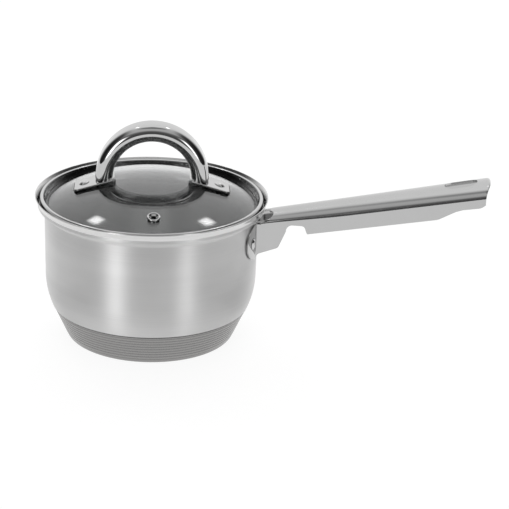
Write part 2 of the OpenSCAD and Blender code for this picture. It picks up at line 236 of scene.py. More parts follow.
def inner_or_rim(tree):
    """1 on the pan's inner side and on its polished rim, 0 on the outer wall."""
    coordinates = tree.nodes.new("ShaderNodeTexCoord")
    place = tree.nodes.new("ShaderNodeSeparateXYZ")
    normal = tree.nodes.new("ShaderNodeSeparateXYZ")
    put(place.inputs[0], coordinates.outputs["Object"])
    put(normal.inputs[0], coordinates.outputs["Normal"])
    outward = math_node(
        tree, "ADD", math_node(tree, "MULTIPLY", place.outputs[0], normal.outputs[0]),
        math_node(tree, "MULTIPLY", place.outputs[1], normal.outputs[1]))
    inner = math_node(tree, "LESS_THAN", outward, INWARD_BELOW)
    rim = remap(
        tree, place.outputs[2], mm(RIM_FINISH_Z - RIM_BLEND), mm(RIM_FINISH_Z + RIM_BLEND), 0, 1)
    return math_node(tree, "MAXIMUM", inner, rim)


def rib_shade(tree):
    """1 on the capsule's ribs and its plain ends, 0 deep in the grooves, where painted shade stands
    in for the shade that falls there.
    """
    height = object_axes(tree)[2]
    pitch = mm((RIB_HIGH - RIB_LOW) / RIBS)
    turns = math_node(tree, "DIVIDE", math_node(tree, "SUBTRACT", height, mm(RIB_LOW)), pitch)
    wave = math_node(tree, "COSINE", math_node(tree, "MULTIPLY", turns, 2 * math.pi))
    groove = remap(tree, wave, GROOVE_START, GROOVE_END, 0, 1)
    ribbed = math_node(
        tree, "MULTIPLY", math_node(tree, "GREATER_THAN", height, mm(RIB_LOW) - pitch / 4),
        math_node(tree, "LESS_THAN", height, mm(RIB_HIGH) + pitch / 4))
    return math_node(tree, "SUBTRACT", 1.0, math_node(tree, "MULTIPLY", groove, ribbed))


def turned_steel(
        name, level, warmth, roughness, anisotropy, ring_scale, bump, polished=None, grooved=None):
    """Stainless steel polished on a lathe: fine rings, stretched highlights, faint bands.

    polished is the roughness of the pan's inner side and rim, and adds a thin line of painted shade
    just above the capsule, for the shadow in the joint. grooved is the painted shade in the capsule's
    grooves, as a share of level.
    """
    material, tree, shader = new_material(name)
    fine = noise(
        tree, turned_coordinates(tree, along=ring_scale, around=1.5), 1.0, detail=4.0, roughness=0.7)
    broad = noise(tree, turned_coordinates(tree, along=95, around=0.35), 1.0, detail=1.0)
    patches = noise(tree, turned_coordinates(tree, along=22, around=1.1), 1.0, detail=3.0)
    darker, lighter = (grey(level * share, warmth) for share in BAND_TONES)
    tone = mix_colours(tree, broad, darker, lighter)
    rings = remap(tree, fine, 0.3, 0.7, 0, 1)
    tone = mix_colours(tree, rings, tone, grey(level * RING_TONE, warmth))
    if polished:
        buffed = inner_or_rim(tree)
        # Painted shade in a thin line just above the capsule, kept off the inner side and rim
        above = remap(
            tree, object_axes(tree)[2], mm(CAPSULE_H + SEAM_START), mm(CAPSULE_H + SEAM_END), 0, 1)
        clear = math_node(tree, "MAXIMUM", above, buffed)
        tone = mix_colours(tree, clear, grey(level * PAINTED_SEAM_SHADE, warmth), tone)
    if grooved:
        # Painted shade in the capsule's grooves
        tone = mix_colours(tree, rib_shade(tree), grey(level * grooved, warmth), tone)
    put(shader.inputs["Base Color"], tone)
    smoothest, roughest = roughness * (1 - ROUGH_SPREAD), roughness * (1 + ROUGH_SPREAD)
    rough = remap(tree, patches, 0.25, 0.75, smoothest, roughest)
    stretch = anisotropy
    if polished:
        rough = remap(tree, buffed, 0, 1, rough, polished)
        stretch = remap(tree, buffed, 0, 1, anisotropy, POLISHED_STRETCH)
    put(shader.inputs["Roughness"], rough)
    put(shader.inputs["Anisotropic"], stretch)
    shader.inputs["Metallic"].default_value = 1.0
    tangent = tree.nodes.new("ShaderNodeTangent")
    tangent.direction_type = "RADIAL"
    tangent.axis = "Z"
    put(shader.inputs["Tangent"], tangent.outputs[0])
    shader.inputs["Anisotropic Rotation"].default_value = QUARTER_TURN
    add_bump(tree, shader, fine, bump, mm(RING_DEPTH))
    return material


def polished_steel(name, level, roughness, wear, scale=(1, 1, 1), painted_lip_shade_r=None):
    """Buffed stainless steel: near mirror, with hairlines and soft handling marks.

    scale stretches the hairlines. The last argument is a radius (mm from the pan's axis) inside which
    the steel gets painted shade, for the shade on the band's inner lip where it meets the glass.
    """
    material, tree, shader = new_material(name)
    x, y, z = object_axes(tree)
    stretched = [
        math_node(tree, "MULTIPLY", axis, size) for axis, size in zip((x, y, z), scale)]
    hairlines = noise(tree, combine(tree, *stretched), HAIRLINE_SCALE, detail=3.0, roughness=0.6)
    marks = noise(tree, combine(tree, x, y, z), 60, detail=4.0, roughness=0.6)
    darker, lighter = (grey(level * share) for share in MARK_TONES)
    tone = mix_colours(tree, marks, darker, lighter)
    if painted_lip_shade_r:
        # Painted shade on the band's inner lip, inside the given radius
        beyond = remap(
            tree, ring_radius(tree, x, y), mm(painted_lip_shade_r - LIP_SHADE_BLEND), mm(painted_lip_shade_r + LIP_SHADE_BLEND), 0, 1)
        tone = mix_colours(tree, beyond, grey(level * LIP_PAINTED_SHADE), tone)
    put(shader.inputs["Base Color"], tone)
    smoothest, roughest = roughness * (1 - MARK_SPREAD), roughness * (1 + MARK_SPREAD) + wear
    put(shader.inputs["Roughness"], remap(tree, marks, 0.3, 0.75, smoothest, roughest))
    shader.inputs["Metallic"].default_value = 1.0
    add_bump(tree, shader, hairlines, HAIRLINE_STRENGTH, mm(HAIRLINE_DEPTH))
    return material


def clear_glass():
    """Tempered glass with a faint grey body and a trace of smears."""
    material, tree, shader = new_material("tempered_glass")
    x, y, z = object_axes(tree)
    smears = noise(tree, combine(tree, x, y, z), 35, detail=4.0, roughness=0.55)
    put(shader.inputs["Roughness"], remap(tree, smears, 0.4, 0.8, 0.0, 0.03))
    shader.inputs["Base Color"].default_value = GLASS_TINT
    shader.inputs["Transmission Weight"].default_value = 1.0
    shader.inputs["IOR"].default_value = GLASS_IOR
    return material


def dark_silicone():
    """Soft matt rubber with a fine moulded grain."""
    material, tree, shader = new_material("dark_silicone")
    x, y, z = object_axes(tree)
    grain = noise(tree, combine(tree, x, y, z), 1500)
    put(shader.inputs["Base Color"], mix_colours(tree, grain, grey(0.02), grey(0.035)))
    put(shader.inputs["Roughness"], remap(tree, grain, 0.3, 0.7, 0.45, 0.6))
    add_bump(tree, shader, grain, 0.2, mm(0.02))
    return material


def cast_aluminium():
    """The bare disc inside the base: dull, with a rolled grain along X."""
    material, tree, shader = new_material("cast_aluminium")
    x, y, z = object_axes(tree)
    along = math_node(tree, "MULTIPLY", x, 0.1)
    grain = noise(tree, combine(tree, along, y, z), 900, detail=3.0)
    put(shader.inputs["Base Color"], mix_colours(tree, grain, grey(0.62), grey(0.72)))
    put(shader.inputs["Roughness"], remap(tree, grain, 0.3, 0.7, 0.35, 0.5))
    shader.inputs["Metallic"].default_value = 1.0
    return material


# ---------------------------------------------------------------- mesh helpers

# A point nearer to the axis than this (mm) lies on it; points nearer than this (m) are one
ON_AXIS = 1e-6
MERGE = 1e-7


def finish_mesh(name, bm, material, sharp=35):
    """Object made of a bmesh, smooth up to edges of sharp degrees."""
    bmesh.ops.recalc_face_normals(bm, faces=bm.faces)
    mesh = bpy.data.meshes.new(name)
    bm.to_mesh(mesh)
    bm.free()
    mesh.shade_smooth()
    mesh.set_sharp_from_angle(angle=math.radians(sharp))
    mesh.materials.append(material)
    piece = bpy.data.objects.new(name, mesh)
    bpy.context.scene.collection.objects.link(piece)
    return piece


def arc(mid, radius, start, end, steps):
    """Points on an arc, angles in degrees."""
    angles = [math.radians(start + (end - start) * i / steps) for i in range(steps + 1)]
    return [(mid[0] + radius * math.cos(a), mid[1] + radius * math.sin(a)) for a in angles]


def lathe(name, outline, material, place=Matrix.Identity(4), segments=SEGMENTS, sharp=35):
    """Turns a closed outline of (radius, height) in mm round the local Z axis."""
    bm = bmesh.new()
    rings = []
    for i in range(segments):
        turn = 2 * math.pi * i / segments
        rings.append([
            bm.verts.new((mm(r) * math.cos(turn), mm(r) * math.sin(turn), mm(z)))
            for r, z in outline])
    count = len(outline)
    for i, ring in enumerate(rings):
        following = rings[(i + 1) % segments]
        for j in range(count):
            k = (j + 1) % count
            if outline[j][0] > ON_AXIS or outline[k][0] > ON_AXIS:
                bm.faces.new((ring[j], following[j], following[k], ring[k]))
    bmesh.ops.remove_doubles(bm, verts=bm.verts, dist=MERGE)
    bmesh.ops.dissolve_degenerate(bm, edges=bm.edges, dist=MERGE / 10)
    bmesh.ops.transform(bm, matrix=place, verts=bm.verts)
    return finish_mesh(name, bm, material, sharp)


def add_modifier(piece, kind, **values):
    """A modifier of the given kind, with its settings."""
    modifier = piece.modifiers.new(kind.lower(), kind)
    for key, value in values.items():
        setattr(modifier, key, value)
    return modifier


def soft_edges(piece, width, segments=3, angle=40):
    """Rounds the edges sharper than angle by width mm."""
    add_modifier(
        piece, "BEVEL", width=mm(width), segments=segments, limit_method="ANGLE",
        angle_limit=math.radians(angle), use_clamp_overlap=True, harden_normals=True)


def prism(name, outline, low, high, material, place=Matrix.Identity(4)):
    """A closed outline in mm, drawn up from low to high, then moved to place."""
    bm = bmesh.new()
    bottom = [bm.verts.new((mm(x), mm(y), mm(low))) for x, y in outline]
    top = [bm.verts.new((mm(x), mm(y), mm(high))) for x, y in outline]
    bm.faces.new(bottom[::-1])
    bm.faces.new(top)
    for i in range(len(outline)):
        j = (i + 1) % len(outline)
        bm.faces.new((bottom[i], bottom[j], top[j], top[i]))
    bmesh.ops.transform(bm, matrix=place, verts=bm.verts)
    return finish_mesh(name, bm, material, sharp=50)


def plate(name, outline, low, high, material, place, bevel):
    """A prism with rounded edges."""
    piece = prism(name, outline, low, high, material, place)
    soft_edges(piece, bevel)
    return piece


# ---------------------------------------------------------------- pan

# Millimetres and degrees; the draft is how much wider the wall is at the lid seat
WALL_R = 80.2
WALL_DRAFT = 0.6
BELLY_TOP = 49.8
BELLY_R = 61.0
SHEET = 0.8
SEAT_Z = 98.6
SEAT_LEAN = 55.0
SEAT_FILLET = 2.0
COLLAR_R = 86.0
COLLAR_FILLET = 2.4
FLARE_Z = 106.0
FLARE_FILLET = 4.0
FLARE_LEAN = 31.0
FLARE_LENGTH = 2.63
# Gap between two parts that lie in or on each other
FIT = 0.1

# The capsule's leaning side (BASE_LEAN in radians) and the pan's floor inside it
BASE_R = 61.2
BASE_LEAN = math.radians(24.3)
CAPSULE_H = 24.8
CAPSULE_SHEET = 0.7
CAPSULE_FILLET = 3.2
FLOOR_Z = 5.0
FLOOR_FILLET = 8.0
RIBS = 8
RIB_LOW = 3.6
RIB_HIGH = CAPSULE_H - 1.4
RIB_STEPS = 14
RIB_DEPTH = 0.35
RIB_FOOT = 0.2
RIB_BLUNTNESS = 0.6
CAPSULE_LIP = 0.35
# Where the belly takes over from the leaning side, above the capsule
LEAN_END_GAP = 0.15
BELLY_GAP = 0.6


def lean_r(z, inset):
    """Radius of the base's leaning side, inset mm inside the capsule's outer face."""
    rise = (z - CAPSULE_FILLET) * math.sin(BASE_LEAN)
    return BASE_R + (CAPSULE_FILLET - inset + rise) / math.cos(BASE_LEAN)


def polar(mid, radius, degrees):
    """The point at that distance and angle from mid."""
    return (mid[0] + radius * math.cos(math.radians(degrees)),
            mid[1] + radius * math.sin(math.radians(degrees)))


def pan_line(inset):
    """The sheet's face from the middle of the floor out to the lip, inset mm inwards."""
    lean = math.degrees(BASE_LEAN)
    side = CAPSULE_SHEET + FIT
    floor_r = lean_r(FLOOR_Z + FLOOR_FILLET, side) - FLOOR_FILLET / math.cos(BASE_LEAN)
    lean_end = CAPSULE_H + LEAN_END_GAP + inset
    belly_start = CAPSULE_H + BELLY_GAP + inset
    belly_angle = math.degrees(math.asin((BELLY_TOP - belly_start) / (BELLY_R - inset)))
    belly = arc((WALL_R - BELLY_R, BELLY_TOP), BELLY_R - inset, -belly_angle, 0, 40)
    wall = [
        (WALL_R - inset + WALL_DRAFT * k / 6, BELLY_TOP + (SEAT_Z - BELLY_TOP) * k / 6)
        for k in range(1, 6)]
    seat_mid = (WALL_R + WALL_DRAFT + SEAT_FILLET, SEAT_Z)
    seat_end = polar(seat_mid, SEAT_FILLET, 180 - SEAT_LEAN)
    seat_lean = math.radians(SEAT_LEAN)
    collar_r = COLLAR_R - COLLAR_FILLET
    out_r = collar_r + COLLAR_FILLET * math.cos(seat_lean)
    out_z = seat_end[1] + (out_r - seat_end[0]) / math.tan(seat_lean)
    collar_mid = (collar_r, out_z + COLLAR_FILLET * math.sin(seat_lean))
    flare_mid = (COLLAR_R + FLARE_FILLET, FLARE_Z)
    flare_end = polar(flare_mid, FLARE_FILLET + inset, 180 - FLARE_LEAN)
    tip = polar(flare_end, FLARE_LENGTH, 90 - FLARE_LEAN)
    return (
        [(0, FLOOR_Z + inset)] + [(floor_r * k / 8, FLOOR_Z + inset) for k in range(1, 8)]
        + arc((floor_r, FLOOR_Z + FLOOR_FILLET), FLOOR_FILLET - inset, -90, -lean, 14)
        + [(lean_r(lean_end, side + inset), lean_end)] + belly + wall
        + arc(seat_mid, SEAT_FILLET + inset, 180, 180 - SEAT_LEAN, 8)
        + arc(collar_mid, COLLAR_FILLET - inset, -SEAT_LEAN, 0, 8)
        + arc(flare_mid, FLARE_FILLET + inset, 180, 180 - FLARE_LEAN, 8)
        + [tip])


def pan_body(material):
    """The whole pressed bowl, from the floor to its rounded lip."""
    outer, inner = pan_line(0), pan_line(SHEET)
    lip_mid = ((outer[-1][0] + inner[-1][0]) / 2, (outer[-1][1] + inner[-1][1]) / 2)
    lip = arc(lip_mid, SHEET / 2, -FLARE_LEAN, 180 - FLARE_LEAN, 8)[1:-1]
    piece = lathe("pan_body_shell", outer + lip + inner[::-1], material)
    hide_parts("pan_body")
    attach(piece, PAN)


def base_capsule(material):
    """A pressed cup with rounded ribs and fine grooves between them."""
    lean = math.degrees(BASE_LEAN)
    fillet_mid = (BASE_R, CAPSULE_FILLET)
    pitch = (RIB_HIGH - RIB_LOW) / RIBS
    steps = RIB_STEPS * RIBS
    side = []
    for i in range(steps + 1):
        z = RIB_LOW + (RIB_HIGH - RIB_LOW) * i / steps
        wave = (1 - math.cos(2 * math.pi * (z - RIB_LOW) / pitch)) / 2
        side.append((lean_r(z, RIB_FOOT) + RIB_DEPTH * wave ** RIB_BLUNTNESS, z))
    outer = (
        [(0, 0)] + [(BASE_R * k / 6, 0) for k in range(1, 6)]
        + arc(fillet_mid, CAPSULE_FILLET, -90, -lean, 10) + side
        + [(lean_r(CAPSULE_H - CAPSULE_LIP, 0), CAPSULE_H - CAPSULE_LIP)]
        + [(lean_r(CAPSULE_H, 0.15), CAPSULE_H - 0.05)])
    inner = (
        [(0, CAPSULE_SHEET)]
        + arc(fillet_mid, CAPSULE_FILLET - CAPSULE_SHEET, -90, -lean, 10)
        + [(lean_r(CAPSULE_H, CAPSULE_SHEET), CAPSULE_H)])
    piece = lathe("base_capsule_shell", outer + inner[::-1], material, sharp=50)
    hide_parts("base_capsule")
    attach(piece, PAN)


# ---------------------------------------------------------------- long handle

# Sizes in mm. X runs outwards from the pan's axis; half widths and crown heights are
# given at the root and at the end; RISE is mm of height for each mm outwards
HANDLE_T = 1.2
END_X = 252.99
ROOT_X = 86.0
HALF_ROOT = 12.0
HALF_END = 18.2
ROOT_Z = 104.15
RISE = 0.2105
CROWN_ROOT = 7.6
CROWN_END = 9.6
CROWN_FULL_X = 150.0
# The end is bowed in plan by END_BOW and its top rounds down over the last END_DROP
END_BOW = 3.0
END_DROP = 3.5
END_REACH = 12.0
# The sheet's end moves from the channel's sides to the crown within ROOT_REACH of the pan
ROOT_REACH = 12.0
# Share of the channel's outline that is one flat side, and faces across a side and the top
WEB_SHARE = 0.22
WEB_STEPS = 12
TOP_STEPS = 64
# Rings along the channel: their distance, the least room beside a corner and between two
STATION_STEP = 1.6
CORNER_ROOM = 0.3
LEAST_STEP = 0.02
# How far in from the flat sides the crown begins, and points nearer than this (m) are welded
CROWN_MARGIN = 0.4
WELD = 2e-6
RELIEF_R = 4.0
RELIEF_MID = (89.0, 6.9)
RELIEF_H = 12.0
# The ears are bent out of the web and lie on the wall; the channel's width at EAR_WIDTH_X
# places the bend, and END_TRIM (degrees) keeps the last row off the ear's very tip
EAR_WIDTH_X = 90.0
EAR_BEND = 3.6
BEND_STEPS = 10
END_TRIM = 0.03
EAR_IN = WALL_R + WALL_DRAFT + FIT
EAR_OUT = EAR_IN + HANDLE_T
EAR_MID_Z = 84.2
EAR_MID_Y = 16.3
EAR_END_R = 13.3
EAR_ROWS = 12
EAR_COLUMNS = 26
WEB_LOW = 71.15
SKIRT_SLOPE = 0.2005
SKIRT_START = (119.3, 91.6)
SKIRT_END_X = 216.0
TIP_R = 11.0
TIP_Z = 132.6
SLOT_X = 231.0
SLOT_LENGTH = 24.0
SLOT_WIDTH = 14.0
# The cutters reach well outside the sheet: sideways, and from one height to another
CUTTER_REACH = 20.0
SLOT_CUT = (100, 160)


def smooth(value):
    """0 up to 0, 1 from 1 on, and an even S between."""
    value = min(max(value, 0), 1)
    return value * value * (3 - 2 * value)


def half_width(x):
    """Half the channel's width."""
    return HALF_ROOT + (HALF_END - HALF_ROOT) * (x - ROOT_X) / (END_X - ROOT_X)


def top_z(x):
    """Height of the handle's top line."""
    over = min(max(x - END_X + END_DROP, 0), END_DROP)
    return ROOT_Z + RISE * (x - ROOT_X) - END_DROP + math.sqrt(END_DROP ** 2 - over ** 2)


def crown(x):
    """Height of the rounded top above the flat sides."""
    share = smooth((x - ROOT_X) / (CROWN_FULL_X - ROOT_X))
    return CROWN_ROOT + (CROWN_END - CROWN_ROOT) * share


def side_outline():
    """Lower edge of the handle's side: web, cut-out, skirt and rounded tip, as (x, z)."""
    skirt_end = (SKIRT_END_X, SKIRT_START[1] + SKIRT_SLOPE * (SKIRT_END_X - SKIRT_START[0]))
    return (
        [(78, WEB_LOW), (96.4, 78.5), (97.6, 79.3), (98.3, 80.6), (103.0, 91.95)]
        + arc((108.2, 92.8), 5, 165, 90, 8) + arc((114.6, 94.6), 3.2, 90, 5, 8)
        + [(118.8, 92.3), (119.1, 91.8), (119.8, 91.7)]
        + [(skirt_end[0] - 1.5, skirt_end[1] - 0.25), (skirt_end[0] + 0.4, skirt_end[1] + 0.4)]
        + [(219.5, 113.1), (223.5, 115.4), (228.5, 118.2), (233.5, 120.0), (240, 121.2)]
        + arc((END_X - TIP_R, TIP_Z), TIP_R, -70, -20, 10))


def edge_height(outline, x):
    """Height of the lower edge at x."""
    for (x0, z0), (x1, z1) in zip(outline, outline[1:]):
        if x0 <= x <= x1:
            return z0 + (z1 - z0) * (x - x0) / (x1 - x0)
    return outline[-1][1]


def handle_point(x, share, web_low):
    """A point of the channel's outer face.

    share runs from one lower edge (0) over the top to the other (1).
    """
    half, height, top = half_width(x), crown(x), top_z(x)
    if share < WEB_SHARE or share > 1 - WEB_SHARE:
        side = -1 if share < WEB_SHARE else 1
        down = 1 - (share if side < 0 else 1 - share) / WEB_SHARE
        return Vector((x, side * half, top - height + (web_low - top + height) * down))
    turn = math.pi * (1 - (share - WEB_SHARE) / (1 - 2 * WEB_SHARE))
    return Vector((x, half * math.cos(turn), top - height + height * math.sin(turn)))


def handle_stations(outline):
    """Distances along the handle: even steps, plus every corner of the lower edge."""
    first = ear_plan()[0][0]
    last = END_X - END_DROP
    count = round((last - first) / STATION_STEP)
    even = [first + (last - first) * i / count for i in range(count + 1)]
    corners = [x for x, _ in outline if first + CORNER_ROOM < x < last - CORNER_ROOM]
    turned = [END_X - END_DROP * (1 - math.sin(math.radians(9 * i))) for i in range(1, 11)]
    stations = sorted(even + corners) + turned
    return [b for a, b in zip([0] + stations, stations) if b - a > LEAST_STEP]


def ear_plan():
    """Plan of one ear's outer face, from the web through the bend along the wall."""
    mid_y = half_width(EAR_WIDTH_X) + EAR_BEND
    mid_x = math.sqrt((EAR_OUT + EAR_BEND) ** 2 - mid_y ** 2)
    turn = math.degrees(math.atan2(mid_y, mid_x))
    bend = arc((mid_x, mid_y), EAR_BEND, -90, -180 + turn, BEND_STEPS)
    end = math.degrees(math.asin((EAR_MID_Y + EAR_END_R) / EAR_OUT))
    wall = []
    for i in range(1, EAR_COLUMNS + 1):
        share = math.sin(math.pi / 2 * i / EAR_COLUMNS)
        angle = turn + (end - END_TRIM - turn) * share
        wall.append(polar((0, 0), EAR_OUT, angle))
    return bend + wall


def long_handle(material):
    """One folded sheet: channel and ears, made thick, then cut clear of the pan, slot and reliefs."""
    outline = side_outline()
    stations = handle_stations(outline)
    web = [WEB_SHARE * i / WEB_STEPS for i in range(WEB_STEPS)]
    top = [WEB_SHARE + (1 - 2 * WEB_SHARE) * i / TOP_STEPS for i in range(TOP_STEPS + 1)]
    shares = web + top + [1 - share for share in reversed(web)]
    bm = bmesh.new()

    def place(x, share):
        """A grid point: the crown reaches in to the pan, and the end is bowed."""
        flat = abs(handle_point(x, share, 0).y)
        start, half = stations[0], half_width(x)
        if flat < half - CROWN_MARGIN:
            start = WALL_R
        pulled = END_BOW * (flat / half) ** 2
        near_root = 1 - smooth((x - stations[0]) / ROOT_REACH)
        near_end = smooth((x - END_X + END_REACH) / END_REACH)
        moved = x + (start - stations[0]) * near_root - pulled * near_end
        return handle_point(moved, share, edge_height(outline, moved))

    grid = [[bm.verts.new(mm(place(x, share))) for share in shares] for x in stations]
    for i in range(len(stations) - 1):
        for j in range(len(shares) - 1):
            bm.faces.new((grid[i][j], grid[i + 1][j], grid[i + 1][j + 1], grid[i][j + 1]))
    for side in (-1, 1):
        add_ear(bm, side, stations[0], outline)
    bmesh.ops.remove_doubles(bm, verts=bm.verts, dist=WELD)
    piece = finish_mesh("long_handle_sheet", bm, material, sharp=55)
    add_modifier(piece, "SOLIDIFY", thickness=mm(HANDLE_T), offset=-1, use_even_offset=True)
    cutters = [pan_envelope(material), slot_prism(material)]
    cutters += [relief_prism(material, side) for side in (-1, 1)]
    cut_away(piece, cutters)
    soft_edges(piece, 0.3, segments=2, angle=55)
    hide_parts("long_handle")
    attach(piece, PAN)


def cut_away(piece, cutters):
    """Applies what the piece carries, then subtracts each cutter and removes it."""
    for cutter in cutters:
        add_modifier(piece, "BOOLEAN", operation="DIFFERENCE", object=cutter, solver="EXACT")
    graph = bpy.context.evaluated_depsgraph_get()
    mesh = bpy.data.meshes.new_from_object(piece.evaluated_get(graph))
    piece.modifiers.clear()
    piece.data = mesh
    mesh.set_sharp_from_angle(angle=math.radians(50))
    for cutter in cutters:
        bpy.data.objects.remove(cutter)


def pan_envelope(material):
    """The pan filled in, a little larger all round: what the handle has to stay clear of."""
    outer = pan_line(-FIT)
    return lathe("pan_envelope", outer + [(0, outer[-1][1])], material)


def slot_prism(material):
    """Cutter for the hanging slot."""
    reach = (SLOT_LENGTH - SLOT_WIDTH) / 2
    outline = (
        arc((SLOT_X + reach, 0), SLOT_WIDTH / 2, -90, 90, 24)
        + arc((SLOT_X - reach, 0), SLOT_WIDTH / 2, 90, 270, 24))
    return prism("slot", outline, SLOT_CUT[0], SLOT_CUT[1], material)


def relief_prism(material, side):
    """Cutter for one round relief, open towards the pan."""
    x, y = RELIEF_MID
    outline = (
        [(x - CUTTER_REACH, side * y - RELIEF_R)] + arc((x, side * y), RELIEF_R, -90, 90, 24)
        + [(x - CUTTER_REACH, side * y + RELIEF_R)])
    return prism("relief", outline, SEAT_Z, SEAT_Z + RELIEF_H, material)


def add_ear(bm, side, web_x, outline):
    """The flange that is bent out from the side and lies on the pan's wall."""
    plan = ear_plan()
    web_low = edge_height(outline, web_x)
    web_high = top_z(web_x) - crown(web_x)
    columns = []
    for k, (x, y) in enumerate(plan):
        over = max(y - EAR_MID_Y, 0)
        half = math.sqrt(max(EAR_END_R ** 2 - over ** 2, 0.0))
        low, high = EAR_MID_Z - half, EAR_MID_Z + half
        if over == 0:
            ease = smooth(k / BEND_STEPS)
            low = web_low + (low - web_low) * ease
            high = web_high + (high - web_high) * ease
        depth = y if k else half_width(web_x)
        column = []
        for row in range(EAR_ROWS + 1):
            level = low + (high - low) * row / EAR_ROWS
            column.append(bm.verts.new((mm(x), side * mm(depth), mm(level))))
        columns.append(column)
    for first, second in zip(columns, columns[1:]):
        for j in range(EAR_ROWS):
            bm.faces.new((first[j], second[j], second[j + 1], first[j + 1]))


def rivet_outline(head_r, head_h, shank_r, low, head_z):
    """Domed head with a small rim, on a shank that ends at low."""
    dome_r, rim = head_r - 0.15, 0.35
    dome = []
    for i in range(13):
        r = dome_r * (1 - i / 12)
        dome.append((r, head_z + rim + (head_h - rim) * (1 - (r / dome_r) ** 2.4)))
    return [(0, low), (shank_r, low), (shank_r, head_z), (head_r - 0.1, head_z),
            (head_r, head_z + 0.12), (head_r - 0.03, head_z + 0.28)] + dome


# Bearing of a handle rivet on the wall in degrees, its height, and the flat sides of any rivet
RIVET_BEARING = 13.6
RIVET_Z = 83.6
RIVET_SEGMENTS = 64


def handle_rivets(material):
    """One rivet through each ear: domed outside, flat and round inside the pan."""
    shank_r, shank_low = 2.5, -1.15
    outer = rivet_outline(4.3, 1.6, shank_r, shank_low, 1.35)
    inner = [(0, -2.25), (2.2, -2.15), (3.5, -1.8), (4.2, -1.5), (4.3, -1.3), (4.2, -1.16)]
    outline = inner + outer[1:]
    for side, name in ((-1, "left"), (1, "right")):
        place = (
            Matrix.Rotation(math.radians(side * RIVET_BEARING), 4, "Z")
            @ Matrix.Translation((mm(WALL_R + WALL_DRAFT), 0, mm(RIVET_Z)))
            @ Matrix.Rotation(math.pi / 2, 4, "Y"))
        head = lathe(f"handle_rivet_{name}_head", outline, material, place, RIVET_SEGMENTS, 50)
        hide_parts(f"handle_rivet_{name}")
        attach(head, PAN)


# ---------------------------------------------------------------- lid

# Millimetres; middles are (distance from the axis, height)
DOME_TOP = 124.8
DOME_R = 178.0
GLASS_T = 4.0
GLASS_EDGE = 80.0
GLASS_STEPS = 60
# The glass's rounded edge: its size, and how much higher the dome is where it begins
EDGE_ROUND = 0.6
EDGE_RISE = 0.18
BEAD_R = 1.5
BEAD_MID = (82.6, 109.1)
BAND_T = 0.5
BAND_LIP = 79.7
SKIRT_R = 79.1
SKIRT_END = 94.5
ARCH_Z = 125.2
ARCH_OUT = 42.49
ARCH_IN = 29.4
ARCH_W = 22.0
ARCH_CORNER = 6.5
ARCH_WALL = 1.2
ARCH_STEPS = 96
LEG_STEPS = 4
# A foot's tab, seen from its rivet: how far it reaches out and in, and its height off the glass
FOOT_R = 50.5
TAB_W = 22.4
TAB_T = 1.4
TAB_LOW = 0.65
TAB_OUT = 7.6
TAB_IN = 22.0
TAB_CORNER = 3.0
TAB_SOFTNESS = 0.6
# The silicone pad under a tab
PAD_LOW = 0.12
PAD_HIGH = 0.6
PAD_OUT = 8.5
PAD_IN = 8.2
PAD_MARGIN = 0.6
PAD_CORNER = 2.5
PAD_SOFTNESS = 0.2
VENT_R = 60.0
VENT_BEARING = -88.6
# Holes in the glass: distance from the axis, bearing in degrees, radius
HOLES = ((FOOT_R, 0, 2.6), (FOOT_R, 180, 2.6), (VENT_R, VENT_BEARING, 3.4))
HOLE_REACH = 8


def dome_z(r, over=0.0):
    """Height of the glass's top face at distance r, or of a face over mm above it."""
    return DOME_TOP - DOME_R + math.sqrt((DOME_R + over) ** 2 - r * r)


def on_dome(r, angle):
    """Frame on the glass at distance r: +Z along the glass's normal, +X outwards and down."""
    return (
        Matrix.Rotation(math.radians(LID_TURN + angle), 4, "Z")
        @ Matrix.Translation((mm(r), 0, mm(dome_z(r))))
        @ Matrix.Rotation(math.asin(r / DOME_R), 4, "Y"))


def lid_glass(material):
    """The dome with a rounded edge, and its three holes cut square to the glass."""
    radii = [GLASS_EDGE * i / GLASS_STEPS for i in range(GLASS_STEPS + 1)]
    top = [(r, dome_z(r)) for r in radii]
    under = [(r, dome_z(r, -GLASS_T)) for r in radii]
    edge_r, edge_top, edge_low = GLASS_EDGE - EDGE_ROUND, top[-1][1], under[-1][1]
    edge = [
        (edge_r, edge_top + EDGE_RISE), (GLASS_EDGE, edge_top - EDGE_ROUND),
        (GLASS_EDGE, edge_low + EDGE_ROUND), (edge_r, edge_low + EDGE_RISE)]
    piece = lathe("lid_glass_dome", top[:-1] + edge + under[-2::-1], material)
    for i, (distance, bearing, r) in enumerate(HOLES):
        drill = [(0, -HOLE_REACH), (r, -HOLE_REACH), (r, HOLE_REACH), (0, HOLE_REACH)]
        hole = lathe(f"hole_{i}", drill, material, on_dome(distance, bearing), segments=48)
        cut = add_modifier(piece, "BOOLEAN", operation="DIFFERENCE", object=hole, solver="EXACT")
        with bpy.context.temp_override(object=piece):
            bpy.ops.object.modifier_apply(modifier=cut.name)
        bpy.data.objects.remove(hole)
    piece.data.set_sharp_from_angle(angle=math.radians(35))
    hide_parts("lid_glass")
    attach(piece, LID)


def ribbon(line, thickness):
    """Closed outline of a sheet whose one face is line, its other face to the right of it."""
    other = []
    points = [Vector(point) for point in line]
    last = len(points) - 1
    for i, point in enumerate(points):
        before = (points[max(i, 1)] - points[max(i - 1, 0)]).normalized()
        after = (points[min(i + 1, last)] - points[min(i, last - 1)]).normalized()
        first, second = Vector((before.y, -before.x)), Vector((after.y, -after.x))
        other.append(tuple(point + thickness * (first + second) / (1 + first.dot(second))))
    return line + other[::-1]


